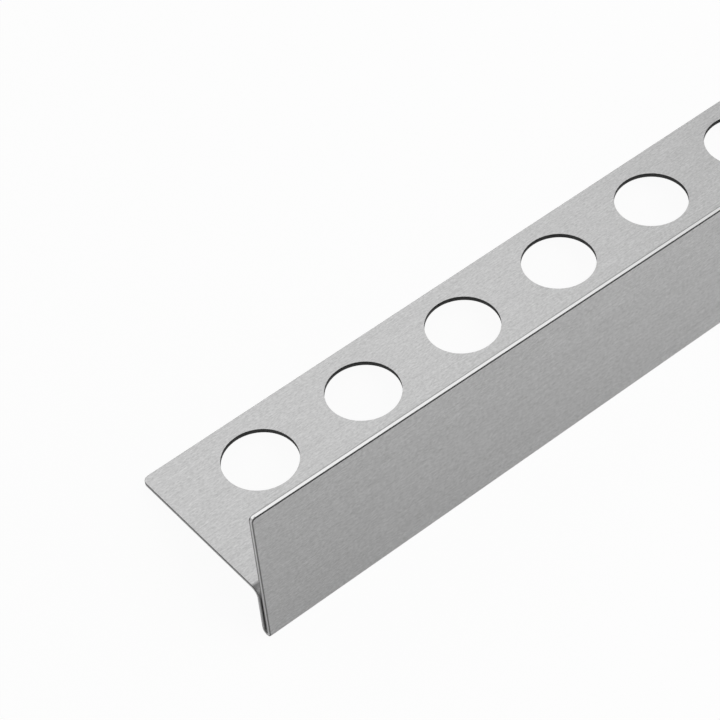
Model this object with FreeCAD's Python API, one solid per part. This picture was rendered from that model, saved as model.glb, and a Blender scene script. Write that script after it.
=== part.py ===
import FreeCAD, Part
import math
import os

# A shower slope profile: one strip of stainless sheet, perforated and folded.
# The strip runs along X. Its section is drawn in the Y-Z plane with the
# perforated leg level, and the finished profile is then tipped over until it
# lies as it would on a floor, on the rounded hem and the leg's free edge.

# Driving dimensions in millimetres
length = 990.0
sheet = 1.0
hem_gap = 0.45
hem_height = 12.6
face_rise = 21.9
fall_per_metre = 15.0
leg_bend_radius = 1.5
hole_diameter = 15.0
hole_pitch = 25.0
end_to_first_hole = 19.3
hole_row_from_face = 25.9
hole_row_to_leg_edge = 11.3
leg_corner_radius = 1.4
face_corner_radius = 1.0

# Sizes that follow from them
hem_radius = sheet + hem_gap / 2
web_front = sheet + hem_gap
web_back = web_front + sheet
leg_top = hem_height
leg_underside = leg_top - sheet
leg_edge = hole_row_from_face + hole_row_to_leg_edge
tall_end_height = leg_top + face_rise
low_end_height = tall_end_height - length * fall_per_metre / 1000.0


def section_point(place):
    across, up = place
    return FreeCAD.Vector(0, across, up)


def line(start, end):
    return Part.LineSegment(section_point(start), section_point(end)).toShape()


def arc(start, middle, end):
    return Part.Arc(section_point(start), section_point(middle), section_point(end)).toShape()


def round_point(centre, radius, degrees):
    """A point of a circle in the section, its angle counted from the leg's direction."""
    angle = math.radians(degrees)
    return (centre[0] + radius * math.cos(angle), centre[1] + radius * math.sin(angle))


def folded_section():
    """The bent strip seen from its end: tall face, closed hem below it, short web, leg."""
    hem_centre = (hem_radius, hem_radius)
    eye_radius = hem_gap / 2
    bend_outside = leg_bend_radius + sheet
    bend_centre = (web_back + leg_bend_radius, leg_underside - leg_bend_radius)
    edges = [
        line((0, hem_radius), (0, tall_end_height)),
        line((0, tall_end_height), (sheet, tall_end_height)),
        line((sheet, tall_end_height), (sheet, hem_radius)),
        arc((sheet, hem_radius), round_point(hem_centre, eye_radius, 270), (web_front, hem_radius)),
        line((web_front, hem_radius), (web_front, bend_centre[1])),
        arc(
            (web_front, bend_centre[1]),
            round_point(bend_centre, bend_outside, 135),
            (bend_centre[0], leg_top),
        ),
        line((bend_centre[0], leg_top), (leg_edge, leg_top)),
        line((leg_edge, leg_top), (leg_edge, leg_underside)),
        line((leg_edge, leg_underside), (bend_centre[0], leg_underside)),
        arc(
            (bend_centre[0], leg_underside),
            round_point(bend_centre, leg_bend_radius, 135),
            (web_back, bend_centre[1]),
        ),
        line((web_back, bend_centre[1]), (web_back, hem_radius)),
        arc((web_back, hem_radius), round_point(hem_centre, hem_radius, 270), (0, hem_radius)),
    ]
    return Part.Face(Part.Wire(edges))


def slope_cutter():
    """Everything above the face's free edge, which falls evenly from the tall end."""
    clear = sheet
    top = tall_end_height + clear
    run = [
        FreeCAD.Vector(0, -clear, tall_end_height),
        FreeCAD.Vector(length, -clear, low_end_height),
        FreeCAD.Vector(length, -clear, top),
        FreeCAD.Vector(0, -clear, top),
        FreeCAD.Vector(0, -clear, tall_end_height),
    ]
    return Part.Face(Part.makePolygon(run)).extrude(FreeCAD.Vector(0, sheet + 2 * clear, 0))


def edges_at(shape, places):
    """The edges whose middle lies at one of the given places."""
    near = sheet / 100
    found = []
    for edge in shape.Edges:
        first, last = edge.ParameterRange
        middle = edge.valueAt((first + last) / 2)
        if any(middle.distanceToPoint(place) < near for place in places):
            found.append(edge)
    return found


def leg_corners():
    """The two upright edges where the leg's free edge meets the ends."""
    middle_up = leg_top - sheet / 2
    return [FreeCAD.Vector(end, leg_edge, middle_up) for end in (0, length)]


def face_corners():
    """The two edges where the face's free edge meets the ends."""
    middle_across = sheet / 2
    return [
        FreeCAD.Vector(0, middle_across, tall_end_height),
        FreeCAD.Vector(length, middle_across, low_end_height),
    ]


def hole_places():
    """Hole centres along the leg: as many as the two end margins leave room for."""
    count = int((length - 2 * end_to_first_hole) / hole_pitch) + 1
    return [end_to_first_hole + number * hole_pitch for number in range(count)]


def hole_punches():
    punches = []
    for along in hole_places():
        foot = FreeCAD.Vector(along, hole_row_from_face, leg_underside - sheet)
        punches.append(Part.makeCylinder(hole_diameter / 2, 3 * sheet, foot))
    return punches


def lying_on_the_floor(profile):
    """Tip the profile until hem and leg edge both touch the floor, and centre it there."""
    across = leg_edge - hem_radius
    up = leg_underside - hem_radius
    tip = math.atan2(up, across) + math.asin(hem_radius / math.hypot(across, up))
    profile.rotate(FreeCAD.Vector(0, 0, 0), FreeCAD.Vector(1, 0, 0), -math.degrees(tip))
    box = profile.optimalBoundingBox(False, False)
    profile.translate(FreeCAD.Vector(-box.Center.x, -box.Center.y, -box.ZMin))
    print("tipped by", round(math.degrees(tip), 3), "degrees to lie on hem and leg edge")
    return profile


def wedge_profile():
    strip = folded_section().extrude(FreeCAD.Vector(length, 0, 0))
    strip = strip.cut(slope_cutter())
    strip = strip.makeFillet(leg_corner_radius, edges_at(strip, leg_corners()))
    strip = strip.makeFillet(face_corner_radius, edges_at(strip, face_corners()))
    strip = strip.cut(hole_punches())
    return lying_on_the_floor(strip.Solids[0])


os.makedirs("parts", exist_ok=True)
profile = wedge_profile()
profile.exportStep("parts/wedge_profile.step")
print("wedge_profile", len(hole_places()), "holes, volume", round(profile.Volume, 1), "mm3")
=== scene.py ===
# %% [markdown]
# # A folded steel slope profile, from flat strip to photograph
#
# The real object is one strip of stainless sheet. A workshop punches a row of
# holes in it, folds it twice and cuts its free edge to a slope. This lesson
# makes the mesh in the same order, because a folding press and the extrude and
# spin operators do nearly the same thing: each takes the edge of what is there
# and carries it on.
#
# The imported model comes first. It fixes where everything lies, in metres.

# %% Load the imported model
import math

import bmesh
import bpy
from mathutils import Matrix, Quaternion, Vector


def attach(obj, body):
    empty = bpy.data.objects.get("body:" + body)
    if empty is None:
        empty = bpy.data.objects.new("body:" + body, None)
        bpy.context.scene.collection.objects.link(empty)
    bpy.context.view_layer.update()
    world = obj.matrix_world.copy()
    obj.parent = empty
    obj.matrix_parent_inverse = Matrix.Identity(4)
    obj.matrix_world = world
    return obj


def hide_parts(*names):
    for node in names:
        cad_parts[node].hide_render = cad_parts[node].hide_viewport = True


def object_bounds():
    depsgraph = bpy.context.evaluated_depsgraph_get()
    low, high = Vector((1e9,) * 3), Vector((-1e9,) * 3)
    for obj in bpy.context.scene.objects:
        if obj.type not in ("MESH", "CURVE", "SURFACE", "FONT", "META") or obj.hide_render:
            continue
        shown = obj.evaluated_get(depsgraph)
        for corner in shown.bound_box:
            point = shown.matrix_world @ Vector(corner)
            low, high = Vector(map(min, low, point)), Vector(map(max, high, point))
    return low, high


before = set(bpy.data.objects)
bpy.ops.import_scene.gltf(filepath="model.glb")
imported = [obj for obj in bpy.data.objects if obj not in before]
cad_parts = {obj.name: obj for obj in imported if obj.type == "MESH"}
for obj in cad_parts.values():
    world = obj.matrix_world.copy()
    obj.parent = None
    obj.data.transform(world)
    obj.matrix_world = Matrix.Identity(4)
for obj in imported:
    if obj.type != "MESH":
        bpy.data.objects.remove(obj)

cad_low, cad_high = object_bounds()
print("packed model, metres:", [round(value, 4) for value in cad_high - cad_low])

# %% [markdown]
# The profile is a sheet-metal part, so its sizes are few. The overall length
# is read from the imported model. The others are the folder's own: the sheet,
# the gap left inside the hem, the bend's radius, and the hole row. Places
# closer together than TOUCHING count as the same place.

# %% Sizes of the profile, in millimetres
METRE = 1000.0
TOUCHING = 0.001
length = (cad_high.x - cad_low.x) * METRE
sheet = 1.0
hem_gap = 0.45
hem_height = 12.6
face_rise = 21.9
fall = 0.015
leg_bend_radius = 1.5
hole_radius = 7.5
hole_pitch = 25.0
end_to_first_hole = 19.3
hole_row_from_face = 25.9
hole_row_to_leg_edge = 11.3
leg_corner_radius = 1.4
face_corner_radius = 1.0

hem_radius = sheet + hem_gap / 2
web_back = 2 * hem_radius
leg_underside = hem_height - sheet
bend_line = web_back + leg_bend_radius
leg_edge = hole_row_from_face + hole_row_to_leg_edge
hole_count = int((length - 2 * end_to_first_hole) / hole_pitch) + 1
holes = [end_to_first_hole + number * hole_pitch for number in range(hole_count)]
print("strip of", round(length), "mm with", hole_count, "holes")

# %% [markdown]
# First the flat leg. A face of four corners is the simplest start, and
# bevelling only its two outer corners rounds them as a corner punch does.
# Bisecting between the holes then leaves one small cell around each hole,
# which keeps the later triangles short.

# %% The flat leg, sliced into one cell for each hole
corner_steps = 8
strip = bmesh.new()
corner_places = [(0, bend_line), (length, bend_line), (length, leg_edge), (0, leg_edge)]
corners = [strip.verts.new((along, across, leg_underside)) for along, across in corner_places]
strip.faces.new(corners)


def round_corners(bm, verts, radius):
    """Rounds the corners of a flat outline, as a corner punch does."""
    bmesh.ops.bevel(
        bm, geom=verts, offset=radius, offset_type="OFFSET",
        segments=corner_steps, profile=0.5, affect="VERTICES", material=-1,
    )


round_corners(strip, corners[2:], leg_corner_radius)
for along in holes[:-1]:
    everything = list(strip.verts) + list(strip.edges) + list(strip.faces)
    between = (along + hole_pitch / 2, 0, 0)
    bmesh.ops.bisect_plane(
        strip, geom=everything, dist=TOUCHING, plane_co=between, plane_no=(1, 0, 0),
    )
print("cells:", len(strip.faces))

# %% [markdown]
# A punched hole is a circle inside a cell. The cell's face is taken away, a
# circle is put in its place, and triangle fill closes the flat metal between
# the two outlines. Sixty-four steps keep the rim round even in a close view.

# %% Punch the holes
hole_steps = 64
cells = sorted(strip.faces, key=lambda face: face.calc_center_bounds().x)
for cell, along in zip(cells, holes):
    outline = list(cell.edges)
    centre = Matrix.Translation((along, hole_row_from_face, leg_underside))
    ring = bmesh.ops.create_circle(
        strip, cap_ends=False, segments=hole_steps, radius=hole_radius, matrix=centre,
    )["verts"]
    rim = {edge for vert in ring for edge in vert.link_edges}
    bmesh.ops.delete(strip, geom=[cell], context="FACES_ONLY")
    bmesh.ops.triangle_fill(
        strip, use_beauty=True, use_dissolve=False, edges=outline + list(rim), normal=(0, 0, 1),
    )
print("flat leg:", len(strip.faces), "faces")

# %% [markdown]
# Now the press folds the strip. Spinning the open edge through a quarter turn
# makes the bend under the leg, a straight extrusion makes the web, and half a
# turn makes the hem that shows as the safe lower edge. Spin is given the axis
# of each bend, so the radii are exact.

# %% Fold the web and the hem
def folded(bm, edges, centre, turn, steps):
    """Carries a row of edges round an axis along X and returns the new row."""
    verts = list({vert for edge in edges for vert in edge.verts})
    last = bmesh.ops.spin(
        bm, geom=verts + edges, cent=centre, axis=(1, 0, 0), angle=turn, steps=steps, use_merge=False,
    )["geom_last"]
    return [item for item in last if isinstance(item, bmesh.types.BMEdge)]


def drawn(bm, edges, height):
    """Carries a row of edges straight to a height, which may change along X."""
    made = bmesh.ops.extrude_edge_only(bm, edges=edges)["geom"]
    verts = {item for item in made if isinstance(item, bmesh.types.BMVert)}
    for vert in verts:
        vert.co.z = height(vert.co.x)
    return [
        item for item in made
        if isinstance(item, bmesh.types.BMEdge) and all(vert in verts for vert in item.verts)
    ]


def on_bend_line(edge):
    """Whether an edge of the flat leg is one that the press folds."""
    return all(abs(vert.co.y - bend_line) < TOUCHING for vert in edge.verts)


bend_steps = 12
hem_steps = 24
row = [edge for edge in strip.edges if on_bend_line(edge)]
row = folded(strip, row, (0, bend_line, leg_underside - leg_bend_radius), math.pi / 2, bend_steps)
row = drawn(strip, row, lambda along: hem_radius)
row = folded(strip, row, (0, hem_radius, hem_radius), -math.pi, hem_steps)
print("steps of the bend and of the hem:", bend_steps, "and", hem_steps)

# %% [markdown]
# The tall face ends in the cut that gives the profile its name: its free edge
# falls 15 mm in every metre. Each new vertex therefore gets a height worked
# out from its place along the strip. The two ends of the cut are rounded off.

# %% Draw the tall face up to its falling edge
row = drawn(strip, row, lambda along: hem_height + face_rise - fall * along)
edge_verts = {vert for edge in row for vert in edge.verts}
ends = [vert for vert in edge_verts if not TOUCHING < vert.co.x < length - TOUCHING]
round_corners(strip, ends, face_corner_radius)
bmesh.ops.recalc_face_normals(strip, faces=strip.faces)
print("folded skin:", len(strip.faces), "faces")

# %% [markdown]
# So far the strip has no thickness. Solidify adds the second skin one sheet
# away and closes every edge with a wall. The walls join old vertices to new
# ones, which is how they are told apart. Sheared walls get a grey lighter than
# the steel as painted light, and the walls of punched holes a near-black
# painted shade, so each gets its own finish.

# %% Give the sheet its thickness
BRUSHED, END_CUT, LONG_CUT, PUNCHED, PAINTED_SHADE_END_EDGE, PAINTED_SHADE_LONG_EDGE = range(6)


def looks_along(face, within):
    """Whether a face looks along the strip, to within an angle in degrees."""
    return abs(face.normal.x) > math.cos(math.radians(within))


def wall_finish(wall):
    """The finish of a wall: near-black painted shade on the rim of a hole, else the cut of an end or a
    long edge, painted lighter than the steel.
    """
    place = wall.calc_center_median()
    nearest = min(holes, key=lambda along: abs(along - place.x))
    if math.hypot(place.x - nearest, place.y - hole_row_from_face) < hole_radius + sheet / 2:
        return PUNCHED
    return END_CUT if looks_along(wall, 45) else LONG_CUT


outer_skin = set(strip.verts)
bmesh.ops.solidify(strip, geom=list(strip.faces), thickness=-sheet)
bmesh.ops.recalc_face_normals(strip, faces=strip.faces)
for face in strip.faces:
    touching = sum(vert in outer_skin for vert in face.verts)
    is_wall = 0 < touching < len(face.verts)
    face.material_index = wall_finish(face) if is_wall else BRUSHED
skins = {round(vert.co.y, 3) for vert in strip.verts if vert.co.z > 2 * hem_height}
print("the two skins of the face lie at", sorted(skins))

# %% [markdown]
# A shear leaves bands along its cut: a rim that is rolled over, a bright band
# that the blade rubbed, and a dull one where the metal tore. They could be
# faces of their own, but a UV map across the sheet lets the material draw them
# with soft borders, as painted light on the bright band and painted shade along
# both skins. V is 0 on the outer skin and 1 on the inner one, and U isn't used.

# %% Lay a UV map across the cuts
across_cut = strip.loops.layers.uv.new("across_cut")
for face in strip.faces:
    for loop in face.loops:
        loop[across_cut].uv = (0, 0 if loop.vert in outer_skin else 1)
walls = sum(face.material_index != BRUSHED for face in strip.faces)
print("UV map:", across_cut.name, "crosses", walls, "walls")

# %% [markdown]
# No cut edge is perfectly sharp. A small rounded bevel runs round every wall,
# larger on the outer skin, where the blade came in and rolled the edge over.
# A punch only draws the rim of its hole in a little: one narrow chamfer, which
# keeps the brushed skin.

# %% Break the cut edges
outer_break = 0.2
inner_break = 0.07
rim_break = 0.02
rounded_steps = 2
chamfer_steps = 1
sharp = math.radians(45)


def cut_edges(bm, finishes):
    """The sharp edges along the walls that have one of these finishes."""
    return [
        edge for edge in bm.edges
        if edge.calc_face_angle() > sharp
        and any(face.material_index in finishes for face in edge.link_faces)
    ]


def painted_edge_shade_finish(face):
    """The painted shade of a rounded edge: lighter at an end than along a long edge."""
    return PAINTED_SHADE_END_EDGE if looks_along(face, 78) else PAINTED_SHADE_LONG_EDGE


def break_edges(bm, edges, amount, steps, finish_of):
    """Bevels edges and gives each new face the finish that a function names."""
    rounded = bmesh.ops.bevel(
        bm, geom=edges, offset=amount, offset_type="OFFSET",
        segments=steps, profile=0.5, affect="EDGES", clamp_overlap=False, material=-1,
    )["faces"]
    for face in rounded:
        face.material_index = finish_of(face)
    return len(rounded)


# The rounded faces of the sheared edges get a dark grey as painted shade, lighter at the ends than along
# the long edges.
sheared = cut_edges(strip, (END_CUT, LONG_CUT))
outer = [edge for edge in sheared if all(vert in outer_skin for vert in edge.verts)]
inner = [edge for edge in sheared if edge not in outer]
print("outer edges:", break_edges(strip, outer, outer_break, rounded_steps, painted_edge_shade_finish), "faces")
print("inner edges:", break_edges(strip, inner, inner_break, rounded_steps, painted_edge_shade_finish), "faces")
rims = cut_edges(strip, (PUNCHED,))
print("hole rims:", break_edges(strip, rims, rim_break, chamfer_steps, lambda face: BRUSHED), "faces")

# %% [markdown]
# Flat metal is shaded flat and everything round is shaded smooth, so that no
# shading leaks from a bend into the plain surfaces. A face is flat here if it
# looks straight along one of the strip's own axes, before it is tipped over.
# The falling cut is flat too, and looks less than a degree away from upright.

# %% Shade the bends and rims smooth
straight = math.cos(math.radians(1.2))
for face in strip.faces:
    face.smooth = max(abs(value) for value in face.normal) < straight
print("smooth faces:", sum(face.smooth for face in strip.faces))

# %% [markdown]
# Brushed steel stretches its highlights across the brushing. The renderer
# needs a direction for that, and takes it from a UV map: U runs along the
# strip, and V follows the section, whichever way it is folded.

# %% Lay a UV map along the strip
grain = strip.loops.layers.uv.new("grain")
for face in strip.faces:
    upright = abs(face.normal.z) < abs(face.normal.y)
    for loop in face.loops:
        place = loop.vert.co
        loop[grain].uv = (place.x / length, (place.z if upright else place.y) / length)
print("UV map:", grain.name, "follows the strip for", round(length), "mm")

# %% [markdown]
# The profile is stored as it lies on a floor by itself, on the rounded hem
# and the leg's free edge. The tip angle follows from those two supports. One
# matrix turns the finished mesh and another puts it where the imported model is,
# so the object itself stays at the origin, unturned.

# %% Tip it over onto the floor
across = leg_edge - hem_radius
up = leg_underside - hem_radius
tip = math.atan2(up, across) + math.asin(hem_radius / math.hypot(across, up))
bmesh.ops.transform(strip, matrix=Matrix.Rotation(-tip, 4, "X"), verts=strip.verts)


def extent(bm, axis):
    """The lowest and the highest value of a mesh on one axis."""
    values = [vert.co[axis] for vert in bm.verts]
    return min(values), max(values)


middle = Vector((sum(extent(strip, 0)) / 2, sum(extent(strip, 1)) / 2, extent(strip, 2)[0]))
onto_floor = Matrix.Scale(1 / METRE, 4) @ Matrix.Translation(-middle)
bmesh.ops.transform(strip, matrix=onto_floor, verts=strip.verts)
print("tipped", round(math.degrees(tip), 2), "degrees; lowest point", round(extent(strip, 2)[0], 6))

# %% [markdown]
# A bmesh is only a workbench, and the renderer needs an object. This one
# belongs to the single body of the part and stands in for the imported solid.

# %% Turn the mesh into an object
mesh = bpy.data.meshes.new("folded_strip")
strip.to_mesh(mesh)
strip.free()
profile = bpy.data.objects.new("folded_strip", mesh)
bpy.context.scene.collection.objects.link(profile)
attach(profile, "root")
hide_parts("wedge_profile")
print("profile:", len(mesh.polygons), "faces")

# %% [markdown]
# Brushing runs the length of the sheet. A belt leaves two kinds of mark: long
# faint lines and many short scratches. Both are noise pulled out in one
# direction, so a group makes them once, mixes them, and each finish takes its
# own share. The group reads Object coordinates, which are metres here.

# %% The brushing group
NOISE_DETAIL = 3.0
NOISE_ROUGHNESS = 0.6
SCRATCH_SHARE = 0.7


def brushing_group():
    group = bpy.data.node_groups.new("brushing", "ShaderNodeTree")
    sockets = group.interface
    for name in ("Across", "Along Lines", "Along Scratches"):
        sockets.new_socket(name=name, in_out="INPUT", socket_type="NodeSocketFloat")
    sockets.new_socket(name="Streak", in_out="OUTPUT", socket_type="NodeSocketFloat")
    nodes, links = group.nodes, group.links
    ask = nodes.new("NodeGroupInput")
    give = nodes.new("NodeGroupOutput")
    where = nodes.new("ShaderNodeTexCoord")
    kinds = []
    for name in ("Along Lines", "Along Scratches"):
        stretch = nodes.new("ShaderNodeCombineXYZ")
        scaled = nodes.new("ShaderNodeVectorMath")
        scaled.operation = "MULTIPLY"
        noise = nodes.new("ShaderNodeTexNoise")
        noise.inputs["Scale"].default_value = 1.0
        noise.inputs["Detail"].default_value = NOISE_DETAIL
        noise.inputs["Roughness"].default_value = NOISE_ROUGHNESS
        links.new(ask.outputs[name], stretch.inputs["X"])
        links.new(ask.outputs["Across"], stretch.inputs["Y"])
        links.new(ask.outputs["Across"], stretch.inputs["Z"])
        links.new(where.outputs["Object"], scaled.inputs[0])
        links.new(stretch.outputs["Vector"], scaled.inputs[1])
        links.new(scaled.outputs["Vector"], noise.inputs["Vector"])
        kinds.append(noise)
    both = nodes.new("ShaderNodeMix")
    both.inputs["Factor"].default_value = SCRATCH_SHARE
    links.new(kinds[0].outputs["Fac"], both.inputs["A"])
    links.new(kinds[1].outputs["Fac"], both.inputs["B"])
    links.new(both.outputs["Result"], give.inputs["Streak"])
    return group


brushing = brushing_group()
print("group sockets:", [item.name for item in brushing.interface.items_tree])

# %% [markdown]
# The bands of a sheared cut are a mask: 1 on the bright band and 0 at either
# skin, where painted shade goes. Each side has its own width, as a share of the sheet.

# %% The cut band group
def painted_shade_band_group():
    group = bpy.data.node_groups.new("cut_bands_painted_shade", "ShaderNodeTree")
    sockets = group.interface
    sockets.new_socket(name="Outer", in_out="INPUT", socket_type="NodeSocketFloat")
    sockets.new_socket(name="Inner", in_out="INPUT", socket_type="NodeSocketFloat")
    sockets.new_socket(name="Bright", in_out="OUTPUT", socket_type="NodeSocketFloat")
    nodes, links = group.nodes, group.links
    ask = nodes.new("NodeGroupInput")
    give = nodes.new("NodeGroupOutput")
    where = nodes.new("ShaderNodeUVMap")
    where.uv_map = "across_cut"
    split = nodes.new("ShaderNodeSeparateXYZ")
    links.new(where.outputs["UV"], split.inputs["Vector"])
    inside = nodes.new("ShaderNodeMath")
    inside.operation = "SUBTRACT"
    inside.inputs[0].default_value = 1.0
    links.new(ask.outputs["Inner"], inside.inputs[1])
    rises = []
    for skin, reach in ((0.0, ask.outputs["Outer"]), (1.0, inside.outputs["Value"])):
        rise = nodes.new("ShaderNodeMapRange")
        rise.interpolation_type = "SMOOTHSTEP"
        rise.inputs["From Min"].default_value = skin
        links.new(reach, rise.inputs["From Max"])
        links.new(split.outputs["Y"], rise.inputs["Value"])
        rises.append(rise)
    bright = nodes.new("ShaderNodeMath")
    bright.operation = "MULTIPLY"
    links.new(rises[0].outputs["Result"], bright.inputs[0])
    links.new(rises[1].outputs["Result"], bright.inputs[1])
    links.new(bright.outputs["Value"], give.inputs["Bright"])
    return group


cut_bands_painted_shade = painted_shade_band_group()
print("group sockets:", [item.name for item in cut_bands_painted_shade.interface.items_tree])

# %% [markdown]
# The steel itself is a metal with a grey that is close to what satin
# stainless reflects. The streaks change its colour and its roughness a little,
# and lift it by about two thousandths of a millimetre. Noise stays mostly
# between NOISE_LOW and NOISE_HIGH, so that stretch of it gives the full swing.

# %% Steel
LINE_STRETCH = 40
SCRATCH_STRETCH = 2.5
NOISE_LOW = 0.25
NOISE_HIGH = 0.75
ROUGHNESS_SWING = 0.03
ACROSS_THE_GRAIN = 0.25


def swung(material, streak, low, high, socket):
    """Feeds a socket of the shader with a value that swings from low to high with the streaks."""
    nodes, links = material.node_tree.nodes, material.node_tree.links
    swing = nodes.new("ShaderNodeMapRange")
    swing.inputs["From Min"].default_value = NOISE_LOW
    swing.inputs["From Max"].default_value = NOISE_HIGH
    swing.inputs["To Min"].default_value = low
    swing.inputs["To Max"].default_value = high
    links.new(streak.outputs["Streak"], swing.inputs["Value"])
    links.new(swing.outputs["Result"], nodes["Principled BSDF"].inputs[socket])


def steel(name, grey, rough, stretched=0.0, lines=2500, spread=0.05, depth=2e-6):
    """A metal finish: grey and rough are its middle values, lines how many streaks a metre has."""
    material = bpy.data.materials.new(name)
    material.use_nodes = True
    nodes, links = material.node_tree.nodes, material.node_tree.links
    shader = nodes["Principled BSDF"]
    shader.inputs["Metallic"].default_value = 1.0
    shader.inputs["Anisotropic"].default_value = stretched
    shader.inputs["Anisotropic Rotation"].default_value = ACROSS_THE_GRAIN
    along = nodes.new("ShaderNodeTangent")
    along.direction_type = "UV_MAP"
    along.uv_map = "grain"
    links.new(along.outputs["Tangent"], shader.inputs["Tangent"])
    streak = nodes.new("ShaderNodeGroup")
    streak.node_tree = brushing
    streak.inputs["Across"].default_value = lines
    streak.inputs["Along Lines"].default_value = lines / LINE_STRETCH
    streak.inputs["Along Scratches"].default_value = lines / SCRATCH_STRETCH
    swung(material, streak, grey * (1 - spread), grey * (1 + spread), "Base Color")
    swung(material, streak, rough - ROUGHNESS_SWING, rough + ROUGHNESS_SWING, "Roughness")
    bump = nodes.new("ShaderNodeBump")
    bump.inputs["Distance"].default_value = depth
    links.new(streak.outputs["Streak"], bump.inputs["Height"])
    links.new(bump.outputs["Normal"], shader.inputs["Normal"])
    return material


print("steel reads the groups:", [group.name for group in bpy.data.node_groups])

# %% [markdown]
# A sheared cut is the same steel, painted lighter than the skin where the
# blade rubbed it, and painted near-black along both skins as shade for the
# rolled edges. Mixing the two by the band mask keeps one material for each cut.

# %% Painted shade along the cuts
PAINTED_EDGE_SHADE = 0.05


def with_painted_skin_shade(material, outer, inner):
    """Paints shade on a cut's finish along both skins, each by its share of the sheet."""
    nodes, links = material.node_tree.nodes, material.node_tree.links
    colour = nodes["Principled BSDF"].inputs["Base Color"]
    bands = nodes.new("ShaderNodeGroup")
    bands.node_tree = cut_bands_painted_shade
    bands.inputs["Outer"].default_value = outer
    bands.inputs["Inner"].default_value = inner
    mixed = nodes.new("ShaderNodeMix")
    mixed.inputs["A"].default_value = PAINTED_EDGE_SHADE
    links.new(colour.links[0].from_socket, mixed.inputs["B"])
    links.new(bands.outputs["Bright"], mixed.inputs["Factor"])
    links.new(mixed.outputs["Result"], colour)
    return material


finishes = {
    BRUSHED: steel("brushed_skin", 0.56, 0.34, stretched=0.5, lines=3600, spread=0.3),
    # The cuts: a grey lighter than the steel as painted light, lighter at the ends, with painted shade
    # along both skins.
    END_CUT: with_painted_skin_shade(steel("end_cut_painted_light", 0.9, 0.32), outer=0.1, inner=0.6),
    LONG_CUT: with_painted_skin_shade(steel("long_cut_painted_light", 0.82, 0.32), outer=0.15, inner=0.3),
    # The walls of the holes: near-black painted shade for the shadowed hollow under the leg.
    PUNCHED: steel("punched_wall_painted_shade", 0.09, 0.45, spread=0.1),
    # The rounded edges: dark painted shade, lighter at the ends than along the long edges.
    PAINTED_SHADE_END_EDGE: steel("end_edge_painted_shade", 0.22, 0.4, depth=1e-6),
    PAINTED_SHADE_LONG_EDGE: steel("long_edge_painted_shade", PAINTED_EDGE_SHADE, 0.4, depth=1e-6),
}
for finish in sorted(finishes):
    mesh.materials.append(finishes[finish])
print("finishes:", [material.name for material in mesh.materials])

# %% [markdown]
# The floor is plain and pale. A camera ray sees nearly all of its own white,
# which hides where the floor ends. The steel mirrors only a little of that
# white: what it mirrors is mostly the painted floor, lit by the lamps, and a
# share of the paint stays for the camera too, so that the shadow shows.

# %% Floor
SEEN_WHITE = 0.95
MIRRORED_WHITE = 0.05
FLOOR_GREY = 0.88
PLAIN_WHITE = 1.0
floor_reach = 12.0


def pale_floor():
    """Paint for the light, and plain white for a share of what the camera and the steel see."""
    material = bpy.data.materials.new("pale_floor")
    material.use_nodes = True
    nodes, links = material.node_tree.nodes, material.node_tree.links
    nodes.remove(nodes["Principled BSDF"])
    painted = nodes.new("ShaderNodeBsdfDiffuse")
    painted.inputs["Color"].default_value = (FLOOR_GREY, FLOOR_GREY, FLOOR_GREY, 1)
    white = nodes.new("ShaderNodeEmission")
    white.inputs["Strength"].default_value = PLAIN_WHITE
    ray = nodes.new("ShaderNodeLightPath")
    share = nodes.new("ShaderNodeMath")
    share.operation = "MULTIPLY"
    share.inputs[1].default_value = SEEN_WHITE
    links.new(ray.outputs["Is Camera Ray"], share.inputs[0])
    for kind in ("Is Glossy Ray", "Is Transmission Ray"):
        more = nodes.new("ShaderNodeMath")
        more.operation = "MULTIPLY_ADD"
        more.inputs[1].default_value = MIRRORED_WHITE
        links.new(ray.outputs[kind], more.inputs[0])
        links.new(share.outputs["Value"], more.inputs[2])
        share = more
    mixed = nodes.new("ShaderNodeMixShader")
    links.new(share.outputs["Value"], mixed.inputs["Fac"])
    links.new(painted.outputs["BSDF"], mixed.inputs[1])
    links.new(white.outputs["Emission"], mixed.inputs[2])
    links.new(mixed.outputs["Shader"], nodes["Material Output"].inputs["Surface"])
    return material


floor_shape = bmesh.new()
bmesh.ops.create_grid(floor_shape, x_segments=1, y_segments=1, size=floor_reach)
floor_mesh = bpy.data.meshes.new("floor")
floor_shape.to_mesh(floor_mesh)
floor_shape.free()
floor_mesh.materials.append(pale_floor())
floor = bpy.data.objects.new("floor", floor_mesh)
bpy.context.scene.collection.objects.link(floor)
print("floor reaches", floor_reach, "m each way")

# %% [markdown]
# Steel is mostly what it reflects, so the room matters more than the finish.
# The walls of this one are pale and its ceiling is dark, which leaves the bend
# between leg and face dark. A ray that looks up by less than WALL_TOP sees the
# walls, one past CEILING_EDGE sees the ceiling, and between them one fades into
# the other.

# %% The room
WALL_LEVEL = 0.42
CEILING_LEVEL = 0.12
WALL_TOP = math.radians(20)
CEILING_EDGE = math.radians(55)


def studio_world():
    """A ramp from walls to ceiling on how far up a ray looks."""
    world = bpy.data.worlds.new("studio")
    world.use_nodes = True
    nodes, links = world.node_tree.nodes, world.node_tree.links
    where = nodes.new("ShaderNodeTexCoord")
    split = nodes.new("ShaderNodeSeparateXYZ")
    ramp = nodes.new("ShaderNodeMapRange")
    ramp.inputs["From Min"].default_value = math.sin(WALL_TOP)
    ramp.inputs["From Max"].default_value = math.sin(CEILING_EDGE)
    ramp.inputs["To Min"].default_value = WALL_LEVEL
    ramp.inputs["To Max"].default_value = CEILING_LEVEL
    links.new(where.outputs["Generated"], split.inputs["Vector"])
    links.new(split.outputs["Z"], ramp.inputs["Value"])
    links.new(ramp.outputs["Result"], nodes["Background"].inputs["Strength"])
    nodes["Background"].inputs["Color"].default_value = (1, 1, 1, 1)
    return world


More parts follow.
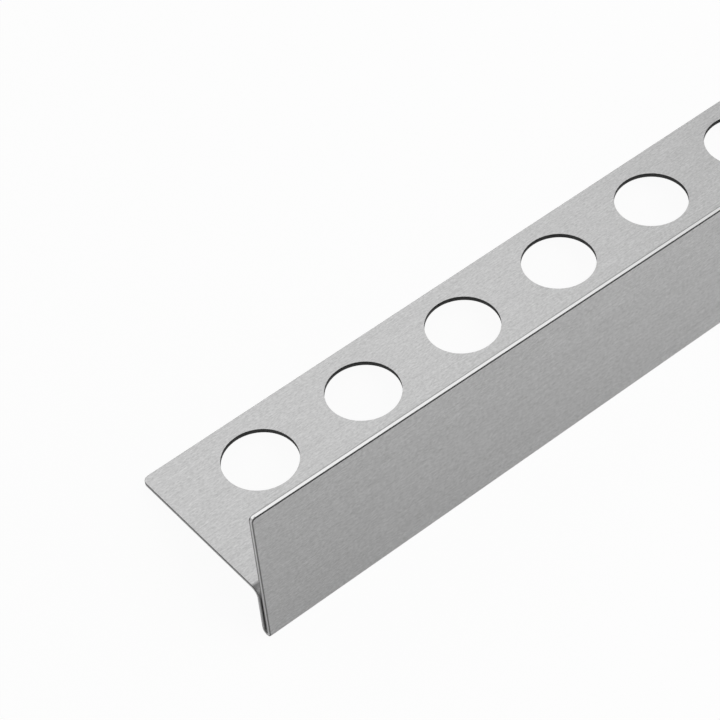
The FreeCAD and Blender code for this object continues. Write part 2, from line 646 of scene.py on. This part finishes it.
bpy.context.scene.world = studio_world()
print("room:", WALL_LEVEL, "at the walls,", CEILING_LEVEL, "at the ceiling")

# %% [markdown]
# Seen from the camera, the leg mirrors a place low behind the profile, where a
# wide softbox stands. The face mirrors the floor in front of it, which a second
# softbox lights. That one stands close, so that its light falls off along the
# face, as in the photograph. No lamp is much brighter than white, so nothing
# clips when the profile is seen from another side. Both are placed by the
# direction in which they are seen from the near end, the tall end.

# %% Lamps
near_end = Vector((cad_low.x + 0.05, 0, 0.01))


def toward(azimuth, elevation, distance):
    """A place seen from the near end: azimuth in degrees from +Y toward +X."""
    turn, rise = math.radians(azimuth), math.radians(elevation)
    level = math.cos(rise)
    return near_end + distance * Vector((level * math.sin(turn), level * math.cos(turn), math.sin(rise)))


def softbox(name, place, width, height, radiance):
    """A lamp aimed at the near end, as bright as a panel of this radiance, where white is 1."""
    data = bpy.data.lights.new(name, "AREA")
    data.shape = "RECTANGLE"
    data.size = width
    data.size_y = height
    data.energy = radiance * math.pi * width * height
    lamp = bpy.data.objects.new(name, data)
    lamp.location = place
    lamp.rotation_mode = "QUATERNION"
    lamp.rotation_quaternion = (near_end - place).to_track_quat("-Z", "Y")
    lamp.visible_camera = False
    bpy.context.scene.collection.objects.link(lamp)


rear = toward(azimuth=-8, elevation=33, distance=2.0)
front = toward(azimuth=125, elevation=42, distance=0.5)
softbox("rear_softbox", rear, width=3.6, height=1.8, radiance=0.9)
softbox("front_softbox", front, width=0.875, height=0.56, radiance=1.45)
print("lamps:", [(lamp.name, round(lamp.energy, 2)) for lamp in bpy.data.lights])

# %% [markdown]
# The camera stands where the photograph was taken from. Its place was worked
# out from the ellipses of the five whole holes and the straight edges. A long
# lens, close in, gives the slight convergence of the two long edges. The roll
# follows from the profile lying tipped, while the photograph shows it level.

# %% Camera
eye = Vector((-0.64934, -0.14251, 0.46519))
aim = Vector((-0.44614, 0.01496, 0.00242))
roll = math.radians(15.064)
camera_data = bpy.data.cameras.new("camera")
camera_data.lens = 137.75
camera_data.sensor_width = 36.0
camera_data.clip_start = 0.01
camera = bpy.data.objects.new("camera", camera_data)
camera.location = eye
camera.rotation_mode = "QUATERNION"
camera.rotation_quaternion = (aim - eye).to_track_quat("-Z", "Y") @ Quaternion((0, 0, 1), roll)
bpy.context.scene.collection.objects.link(camera)
bpy.context.scene.camera = camera
bpy.context.scene.view_settings.view_transform = "Standard"
print("the camera stands", round((eye - aim).length, 3), "m away")
